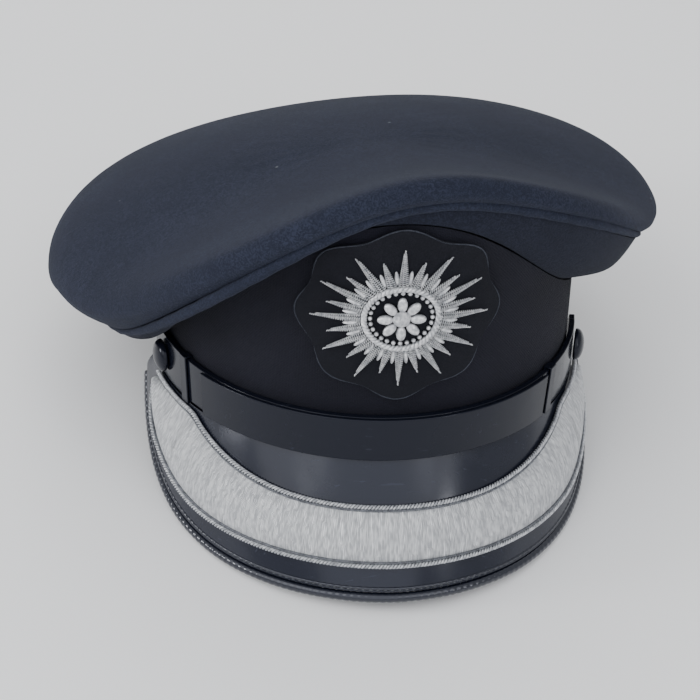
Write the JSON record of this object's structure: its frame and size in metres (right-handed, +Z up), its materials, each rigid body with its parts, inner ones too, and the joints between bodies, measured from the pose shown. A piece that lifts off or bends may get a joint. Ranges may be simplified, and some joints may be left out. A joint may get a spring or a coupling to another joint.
{
  "type": "peaked dress cap",
  "caption": "Peaked dress cap with a soft round crown, raised front, embroidered peak, patent chin strap and an oval rayed badge.",
  "frame": {"origin": "centre of the bounding box's base, on the surface that the cap rests on", "axes": "+Z up, the badge and the peak face -Y, the wearer's left is +X"},
  "size_m": [0.2662, 0.2902, 0.1719],
  "materials": {
    "navy_wool": "brushed wool cloth",
    "black_cloth": "plain dull cloth and felt",
    "black_patent": "polished patent leather",
    "silver_thread": "silver thread laid in satin stitch"
  },
  "bodies": {
    "root": {"crown_top": "navy_wool", "crown_quarters": "navy_wool", "welt": "navy_wool", "band": "black_cloth", "peak": "black_patent", "peak_binding": "black_patent", "peak_embroidery": "silver_thread", "cord_inner": "silver_thread", "cord_outer": "silver_thread", "strap_under": "black_patent", "strap_over": "black_patent", "keeper_left": "black_patent", "keeper_right": "black_patent", "button_left": "black_patent", "button_right": "black_patent", "badge_backing": "black_cloth", "badge": "silver_thread"}
  },
  "joints": []
}
